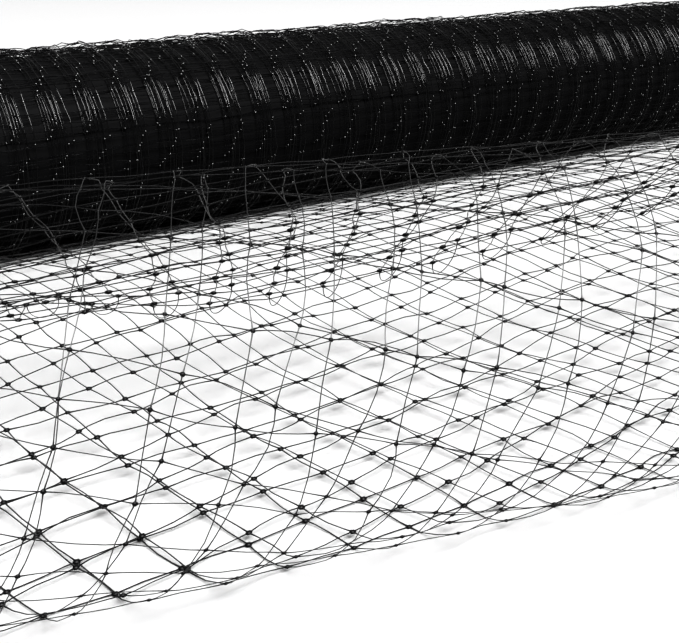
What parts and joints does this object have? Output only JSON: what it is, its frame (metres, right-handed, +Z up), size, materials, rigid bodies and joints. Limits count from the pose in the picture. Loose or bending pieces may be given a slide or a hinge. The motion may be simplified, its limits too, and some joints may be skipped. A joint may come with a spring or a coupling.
{
  "type": "roll of deer netting",
  "caption": "Wound roll of black doubled plastic netting, its loose end run out over the floor, curled up and folded back over itself.",
  "frame": {"origin": "centre of the underside of the whole, on the floor", "axes": "+X along the roll, the loose end runs out towards -Y, +Z up"},
  "size_m": [0.914, 0.4908, 0.1],
  "materials": {
    "wound_net": "glossy black thread, wound tight",
    "loose_net": "glossy black thread"
  },
  "bodies": {
    "root": {"net_roll": "wound_net", "loose_end": "loose_net"}
  },
  "joints": []
}
